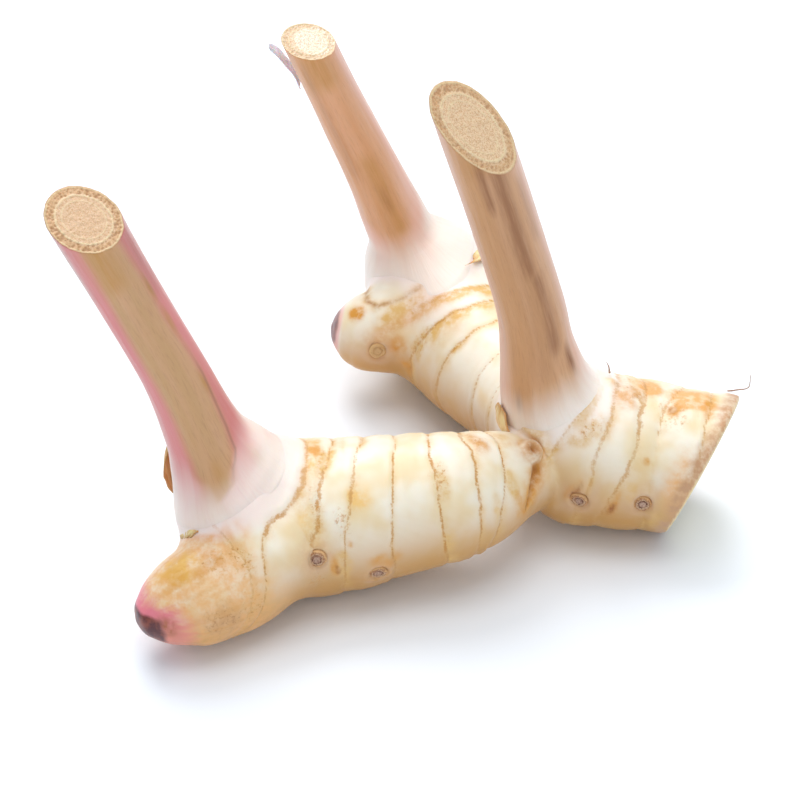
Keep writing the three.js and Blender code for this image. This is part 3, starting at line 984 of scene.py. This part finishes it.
# Dry scales: limb, stations from its root to its free end, turns, how far it stands off the limb,
# how much more at mid-height and at its free end, and how wide its free end is.
SCALES = {
    "front_base_scale": ("frontFinger", (6.6, 7.75), (196, 252), 0.9, 2.2, 0, 0.45),
    "back_base_scale": ("backBranch", (3.35, 4.1), (85, 165), 2.6, 0.8, 0, 0.5),
    "back_stem_strip": ("backBranch", (8.4, 9.15), (-72, -44), 0.4, 0, 2.6, 0.5),
    "junction_scale": ("rightBranch", (4.72, 5.25), (-106, -56), 0.5, 1.0, 0, 0.5),
    "bud_scale": ("frontBud", (1.4, 1.8), (108, 150), 0.4, 0.9, 0, 0.6),
}
SCALE_THICKNESS = 0.25
SCALE_GRAIN = 9  # how wide and high the grain of a scale is
SCALE_ROWS = 34
SCALE_COLUMNS = 44


def there_and_back(inner, outer):
    """The rows of a scale, each its inner side left to right and its outer side right to left."""
    shape = (SCALE_ROWS, SCALE_COLUMNS, -1)
    loops = np.hstack([inner.reshape(shape), outer.reshape(shape)[:, ::-1]])
    return loops.reshape(-1, loops.shape[2])


def sheet_faces():
    """Faces of a scale: both sides, the edges along them, and the edges across its two ends."""
    loop = 2 * SCALE_COLUMNS
    faces = [face[::-1] for face in tube_faces(SCALE_ROWS, loop, None, None)[:-2]]
    first, last = range(loop), range((SCALE_ROWS - 1) * loop, SCALE_ROWS * loop)
    for column in range(SCALE_COLUMNS - 1):
        for end in (first, last[::-1]):
            faces.append([end[column], end[column + 1], end[-column - 2], end[-column - 1]])
    return faces


def scale_piece(name, design, material):
    """A dry scale: a thin curled sheet around its limb, with a ragged edge."""
    limb, stations, turns, stand_off, bulge, flare, taper = design
    height, across = (a.ravel() for a in np.meshgrid(
        np.linspace(0, 1, SCALE_ROWS), np.linspace(-0.5, 0.5, SCALE_COLUMNS), indexing="ij"))
    own_grain = 5.0 * len(name)  # a part of the noise for each scale
    spread = SCALE_GRAIN * np.stack([across, height], 1)
    place = np.column_stack([spread, np.full(len(across), own_grain)])
    ragged = 1 - 0.12 * (0.5 + 0.5 * noise(place * (1, 0, 1), 0.8)) - 0.1 * (1 - np.cos(across * 3))
    station = stations[0] + (stations[1] - stations[0]) * height * ragged
    narrow = (1 - (1 - taper) * height ** 2) * (1 + 0.08 * noise(place * (0, 1, 1), 0.9))
    turn = (turns[0] + turns[1]) / 2 + (turns[1] - turns[0]) * across * narrow
    lift = stand_off + bulge * np.sin(np.pi * height) + flare * height ** 2
    lift += 0.25 * noise(place, 2.5) + 0.15
    inner, out = limbs[limb].skin(station, turn, lift)
    rim = np.maximum(smooth(0.8, 1.0, height), smooth(0.38, 0.5, np.abs(across)))
    grain = place * (1, 0.15, 1)
    make_piece(
        name.replace("_scale", "_dry_scale").replace("_strip", "_papery_strip"),
        there_and_back(inner, inner + out * SCALE_THICKNESS), sheet_faces(), material,
        "dry_scale", name, rim=there_and_back(rim, rim).ravel(), grain=there_and_back(grain, grain),
    )


ROOTLETS = {
    "top_rootlet": [[42, -7, 37], [41.6, -7.4, 39], [41, -8, 40.6]],
    "end_rootlet": [
        [69.2, -6, 31.2], [71.6, -6, 31.5], [73.4, -6.1, 31.9], [74, -6.4, 33], [73.9, -6.6, 36],
    ],
}
ROOTLET_RADIUS = 0.22
ROOTLET_SIDES = 10
ROOTLET_ROWS = 30


def rootlet_piece(name, stations, material):
    """A dry rootlet that thins to its tip."""
    path = Limb([[*place, ROOTLET_RADIUS] for place in stations])
    share = np.repeat(np.linspace(0, 1, ROOTLET_ROWS), ROOTLET_SIDES)
    turn = np.tile(np.arange(ROOTLET_SIDES) * 360 / ROOTLET_SIDES, ROOTLET_ROWS)
    points, _ = path.skin(share * path.last, turn, -0.6 * ROOTLET_RADIUS * share)
    points = points + 0.06 * noise(points, 0.8)[:, None]
    make_piece(
        name.replace("rootlet", "dry_rootlet"), points,
        tube_faces(ROOTLET_ROWS, ROOTLET_SIDES, None, None), material, "root_stump", name,
        radius=np.full(len(points), 0.6), faint=np.zeros(len(points)),
    )


# Materials.

def colour(red, green, blue):
    """A display colour, 0 to 255, as the linear colour that a shader takes."""
    def linear(part):
        share = part / 255
        return share / 12.92 if share <= 0.04045 else ((share + 0.055) / 1.055) ** 2.4
    return (linear(red), linear(green), linear(blue), 1)


LIVE_DEPTHS = (1.0, 0.6, 0.35)  # how deep red, green and blue light go into live flesh


class Shader:
    """A material built by short calls, each of which adds a node and returns its output."""

    def __init__(self, name, **settings):
        self.material = bpy.data.materials.new(name)
        self.material.use_nodes = True
        self.tree = self.material.node_tree
        self.surface = next(n for n in self.tree.nodes if n.type == "BSDF_PRINCIPLED")
        for socket, value in settings.items():
            self.surface.inputs[socket.replace("_", " ")].default_value = value

    def put(self, socket, value):
        """Link a node's output to a socket, or set the socket to a plain value."""
        if isinstance(value, bpy.types.NodeSocket):
            self.tree.links.new(value, socket)
        else:
            socket.default_value = value

    def add(self, kind, inputs, output=0, **settings):
        """Add a node with its settings and inputs, and return one of its outputs."""
        node = self.tree.nodes.new("ShaderNode" + kind)
        for setting, value in settings.items():
            setattr(node, setting, value)
        for socket, value in inputs.items():
            self.put(node.inputs[socket], value)
        return node.outputs[output]

    def mask(self, name, output="Fac"):
        """A mesh attribute as a number, or as a vector."""
        return self.add("Attribute", {}, output, attribute_name=name)

    def place(self):
        """The point on the object, in millimetres."""
        where = self.add("TexCoord", {}, "Object")
        return self.add("VectorMath", {0: where, "Scale": 1 / MM}, operation="SCALE")

    def noise(self, place, size, detail=2.0, roughness=0.5):
        """Noise from 0 to 1 with features of a size in millimetres."""
        inputs = {"Vector": place, "Scale": 1 / size, "Detail": detail, "Roughness": roughness}
        return self.add("TexNoise", inputs, "Fac")

    def math(self, operation, a, b):
        """The result of a sum on two numbers."""
        return self.add("Math", {0: a, 1: b}, operation=operation)

    def times(self, a, b):
        """One number times another."""
        return self.math("MULTIPLY", a, b)

    def rise(self, value, low, high, bottom=0.0, top=1.0):
        """Rise smoothly from bottom to top as a value goes from low to high."""
        inputs = {0: value, "From Min": low, "From Max": high, "To Min": bottom, "To Max": top}
        return self.add("MapRange", inputs, interpolation_type="SMOOTHSTEP")

    def mix(self, share, a, b):
        """A colour mixed from a to b."""
        return self.add("Mix", {"Factor": share, 6: a, 7: b}, 2, data_type="RGBA")

    def bump(self, height, distance):
        """Raise the surface by a height, in units of a distance in millimetres."""
        inputs = {"Distance": distance * MM, "Strength": 1.0, "Height": height}
        self.put(self.surface.inputs["Normal"], self.add("Bump", inputs))

    def finish(self, tone, depths=None):
        """Set the colour, and how deep red, green and blue light go, and return the material."""
        self.put(self.surface.inputs["Base Color"], tone)
        if depths:
            self.put(self.surface.inputs["Subsurface Radius"], depths)
        return self.material


CREAM = colour(243, 234, 215)
DEEP_CREAM = colour(236, 214, 172)
# A darker tan for the lower sides: partly painted shade, partly the skin's own tan.
UNDERSIDE_TAN_AND_SHADE = colour(198, 144, 68)
TAN = colour(222, 180, 106)
YELLOW = colour(236, 190, 104)
PEACH = colour(232, 174, 108)
OCHRE = colour(214, 148, 52)
LINE = colour(196, 138, 62)
BROWN = colour(156, 88, 28)
DARK = colour(166, 108, 44)
FUZZ = colour(198, 150, 100)
HALO = colour(208, 164, 124)
PINK = colour(226, 108, 136)
PURPLE = colour(82, 28, 34)
RUST = colour(150, 74, 52)
WHITE = colour(246, 234, 222)
FLESH = colour(236, 216, 172)
FIBRE = colour(198, 152, 112)


# Each stem's slot, and its colours: body, shade, pink, ochre, brown, cut face and hollow cells.
STEM_LOOKS = {
    "front_stem": (
        "pink_stem", (208, 160, 120), (198, 154, 106), (216, 124, 126), (192, 140, 74),
        (132, 80, 50), (226, 190, 154), (176, 124, 82),
    ),
    "middle_stem": (
        "tan_stem", (212, 162, 120), (200, 148, 100), (230, 184, 160), (190, 136, 72),
        (144, 90, 50), (238, 208, 170), (186, 136, 92),
    ),
    "back_stem": (
        "salmon_stem", (224, 170, 130), (216, 158, 112), (234, 184, 164), (196, 142, 76),
        (152, 98, 56), (250, 240, 218), (228, 198, 156),
    ),
}


def skin_material():
    """Waxy cream skin with tan scars, painted shade on its lower sides, pink and purple at the
    buds, and flesh at the cut end.
    """
    shader = Shader("galangal_skin", Roughness=0.38, Subsurface_Weight=0.15,
                    Subsurface_Scale=0.002, Specular_IOR_Level=0.45, Sheen_Weight=0.12)
    place = shader.place()
    broad = shader.noise(place, 9, 2)
    middle = shader.noise(place, 2.2, 4, 0.6)
    fine = shader.noise(place, 0.6, 3, 0.6)
    speckle = shader.noise(place, 0.9, 4, 0.75)
    patchy = shader.rise(middle, 0.25, 0.7, 0.4, 1.15)

    # Mixes a mask's colour into the skin: stains, and also the painted shade of the lower sides.
    def stain_or_shade(name, tone, stained, strength=1.0, even=False):
        share = shader.mask(name) if even else shader.times(shader.mask(name), patchy)
        return shader.mix(shader.times(share, strength), tone, stained)

    def dot(share, low, high, where, tone, dotted):
        dots = shader.times(shader.rise(speckle, low, high), where)
        return shader.mix(shader.times(dots, share), tone, dotted)

    tone = shader.mix(shader.rise(broad, 0.35, 0.7), CREAM, DEEP_CREAM)
    # Painted shade, partly the skin's own tan: the lower sides turn a darker tan.
    tone = stain_or_shade("under", tone, UNDERSIDE_TAN_AND_SHADE, even=True)
    tone = stain_or_shade("white", tone, WHITE, even=True)
    tone = stain_or_shade("tan", tone, TAN)
    tone = stain_or_shade("peach", tone, PEACH)
    tone = stain_or_shade("yellow", tone, YELLOW, 0.8)
    tone = stain_or_shade("ochre", tone, OCHRE, 0.9)
    tone = stain_or_shade("fuzz", tone, FUZZ, 0.7)

    ragged = shader.math("ADD", shader.mask("ring"), shader.rise(fine, 0.3, 0.7, -0.12, 0.12))
    line = shader.times(shader.rise(ragged, 0.4, 0.1), shader.mask("line"))
    line = shader.times(line, shader.rise(middle, 0.25, 0.6, 0.3, 1.0))
    tone = shader.mix(line, tone, LINE)
    near_ring = shader.rise(shader.mask("ring"), 1.6, 0.2, 0.0, 0.5)
    near_ring = shader.times(near_ring, shader.mask("tan"))
    scabby = shader.math("MAXIMUM", near_ring, shader.mask("speck"))
    tone = dot(0.55, 0.52, 0.6, scabby, tone, OCHRE)
    tone = dot(0.55, 0.6, 0.66, scabby, tone, DARK)
    tone = dot(0.5, 0.5, 0.62, shader.mask("fuzz"), tone, DARK)

    tone = stain_or_shade("halo", tone, HALO)
    rays = shader.rise(shader.mask("rays"), 0.0, 0.5)
    tone = shader.mix(shader.times(rays, 0.25), tone, OCHRE)
    tone = stain_or_shade("pink", tone, PINK, 0.85, even=True)
    tone = stain_or_shade("brown", tone, BROWN)
    cap = shader.mix(shader.rise(middle, 0.38, 0.62, 0.0, 0.65), PURPLE, RUST)
    tone = stain_or_shade("purple", tone, cap, even=True)
    tone = stain_or_shade("cut_edge", tone, FIBRE)
    tone = stain_or_shade("flesh", tone, FLESH, even=True)
    shader.bump(shader.times(speckle, shader.math("ADD", scabby, 0.15)), 0.25)
    return shader.finish(tone, LIVE_DEPTHS)


def stem_material(name, colours):
    """A smooth stem streaked along its length, with a painted highlight on its flanks and a fibrous
    cut face.
    """
    body, shade, pink, ochre, brown, face, cells = (colour(*tone) for tone in colours)
    shader = Shader(name + "_skin", Roughness=0.42, Subsurface_Weight=0.15,
                    Subsurface_Scale=0.002, Specular_IOR_Level=0.4, Sheen_Weight=0.12)
    grain = shader.mask("grain", "Vector")
    broad = shader.noise(grain, 3.5, 2)
    streak = shader.noise(grain, 0.8, 3, 0.6)
    fibre = shader.noise(grain, 0.25, 2, 0.6)
    uneven = shader.rise(streak, 0.2, 0.65, 0.5, 1.1)
    fading = shader.rise(fibre, 0.3, 0.6, 0.94, 1.0)
    tone = shader.mix(shader.rise(broad, 0.3, 0.7), body, shade)
    tone = shader.mix(shader.rise(fibre, 0.5, 0.75, 0.0, 0.2), tone, brown)
    # Painted highlight: the pink flanks whiten where the pale mask is.
    flank_with_painted_highlight = shader.mix(shader.times(shader.mask("pale"), 0.7), pink, WHITE)
    layers = (("pink", 0.9, flank_with_painted_highlight), ("ochre", uneven, ochre), ("brown", uneven, brown),
              ("seam", 0.5, brown), ("white", fading, WHITE))
    for mask, strength, layer in layers:
        tone = shader.mix(shader.times(shader.mask(mask), strength), tone, layer)
    grit = shader.noise(shader.place(), 0.3, 3, 0.8)
    cut = shader.mix(shader.rise(grit, 0.4, 0.7), face, shade)
    layers = (("band", 0.36, ochre), ("cell", 0.6, cells), ("ring", 0.7, FLESH))
    for mask, strength, layer in layers:
        cut = shader.mix(shader.times(shader.mask(mask), strength), cut, layer)
    tone = shader.mix(shader.mask("cut"), tone, cut)
    shader.bump(shader.math("ADD", streak, fibre), 0.06)
    return shader.finish(tone, LIVE_DEPTHS)


def stump_material():
    """A pale core in a broken dark ring, a whitish ring and a rim like the skin around it."""
    shader = Shader("root_stump_bark", Roughness=0.65, Specular_IOR_Level=0.3)
    place = shader.place()
    fine = shader.noise(place, 0.35, 3, 0.6)
    coarse = shader.noise(place, 1.1, 2, 0.5)
    radius = shader.math("ADD", shader.mask("radius"), shader.rise(fine, 0.3, 0.7, -0.2, 0.2))
    dark = shader.mix(shader.rise(coarse, 0.35, 0.65), colour(106, 66, 50), colour(166, 122, 94))
    tone = shader.mix(shader.rise(fine, 0.35, 0.6), colour(156, 120, 102), colour(194, 160, 138))
    rings = ((0.75, 0.95, dark), (1.1, 1.35, colour(208, 172, 138)),
             (1.4, 1.65, colour(166, 114, 78)), (1.7, 1.95, colour(212, 168, 118)))
    for low, high, ring in rings:
        tone = shader.mix(shader.rise(radius, low, high), tone, ring)
    tone = shader.mix(shader.times(shader.mask("faint"), 0.75), tone, colour(216, 178, 124))
    shader.bump(fine, 0.1)
    return shader.finish(tone)


def scale_material(name, pale, veined, edge):
    """Dry papery scale with darker veins and edges."""
    shader = Shader(name, Roughness=0.6, Specular_IOR_Level=0.3, Subsurface_Weight=0.3,
                    Subsurface_Scale=0.002)
    veins = shader.noise(shader.mask("grain", "Vector"), 0.7, 3, 0.6)
    tone = shader.mix(shader.rise(veins, 0.4, 0.75), pale, veined)
    tone = shader.mix(shader.times(shader.mask("rim"), 0.6), tone, edge)
    shader.bump(veins, 0.15)
    return shader.finish(tone)


# Light, camera and floor.

LENS = 100
SENSOR = 36
SEES_TO = 20  # metres
AIM = (-7, -16, 38)
ELEVATION = 36
DISTANCE = 484
LIGHTS = {  # place, side and power
    "back_softbox": ((-200, 800, 1200), 900, 14.5),
    "top_softbox": ((100, -100, 1500), 1000, 8.5),
    "front_softbox": ((200, -1100, 900), 1200, 3),
}
LIT = (0, 0, 30)  # the place that every light faces
FLOOR_SIDE = 8  # metres
FLOOR_WHITE = (0.92, 0.955, 1, 1)
ROOM_WHITE = (0.82, 0.91, 1, 1)
ROOM_STRENGTH = 0.52


def hang(name, content, place, target):
    """Put a camera or a light at a place, facing a target."""
    holder = bpy.data.objects.new(name, content)
    holder.location = Vector(place) * MM
    way = Vector(target) * MM - holder.location
    holder.rotation_euler = way.to_track_quat("-Z", "Y").to_euler()
    bpy.context.scene.collection.objects.link(holder)
    return holder


def add_camera():
    """The camera, in front of the root and above it."""
    camera = bpy.data.cameras.new("camera")
    camera.lens = LENS
    camera.sensor_width = SENSOR
    camera.clip_end = SEES_TO
    angle = np.radians(ELEVATION)
    place = Vector(AIM) + Vector((0, -np.cos(angle), np.sin(angle))) * DISTANCE
    bpy.context.scene.camera = hang("camera", camera, place, AIM)


def add_lights():
    """Square soft lights behind, above and in front of the root."""
    for name, (place, side, power) in LIGHTS.items():
        light = bpy.data.lights.new(name, "AREA")
        light.shape = "SQUARE"
        light.size = side * MM
        light.energy = power
        hang(name, light, place, LIT)


def add_floor():
    """A plain white floor."""
    bpy.ops.mesh.primitive_plane_add(size=FLOOR_SIDE)
    floor = bpy.context.object
    floor.name = "floor"
    shader = Shader("floor_white", Roughness=0.9, Specular_IOR_Level=0.1)
    floor.data.materials.append(shader.finish(FLOOR_WHITE))


def add_surroundings():
    """An even white room."""
    world = bpy.data.worlds.new("room")
    world.use_nodes = True
    background = world.node_tree.nodes["Background"]
    background.inputs["Color"].default_value = ROOM_WHITE
    background.inputs["Strength"].default_value = ROOM_STRENGTH
    bpy.context.scene.world = world
    bpy.context.scene.view_settings.view_transform = "Standard"


add_camera()
add_surroundings()
add_floor()
add_lights()

rhizome_piece(skin_material())
for stem_name, (stem_slot, *stem_colours) in STEM_LOOKS.items():
    stem_piece(stem_name, STEMS[stem_name], stem_material(stem_name, stem_colours), stem_slot)
bark = stump_material()
for stump_number, stump_design in enumerate(STUMPS, 1):
    stump_piece(stump_number, *stump_design, bark)
paper = scale_material(
    "dry_scale_paper", colour(244, 210, 154), colour(218, 162, 98), colour(184, 122, 64))
lavender = scale_material(
    "papery_strip", colour(234, 234, 242), colour(216, 214, 228), colour(194, 190, 204))
for scale_name, scale_design in SCALES.items():
    scale_piece(scale_name, scale_design, lavender if "strip" in scale_name else paper)
for rootlet_name, rootlet_stations in ROOTLETS.items():
    rootlet_piece(rootlet_name, rootlet_stations, bark)
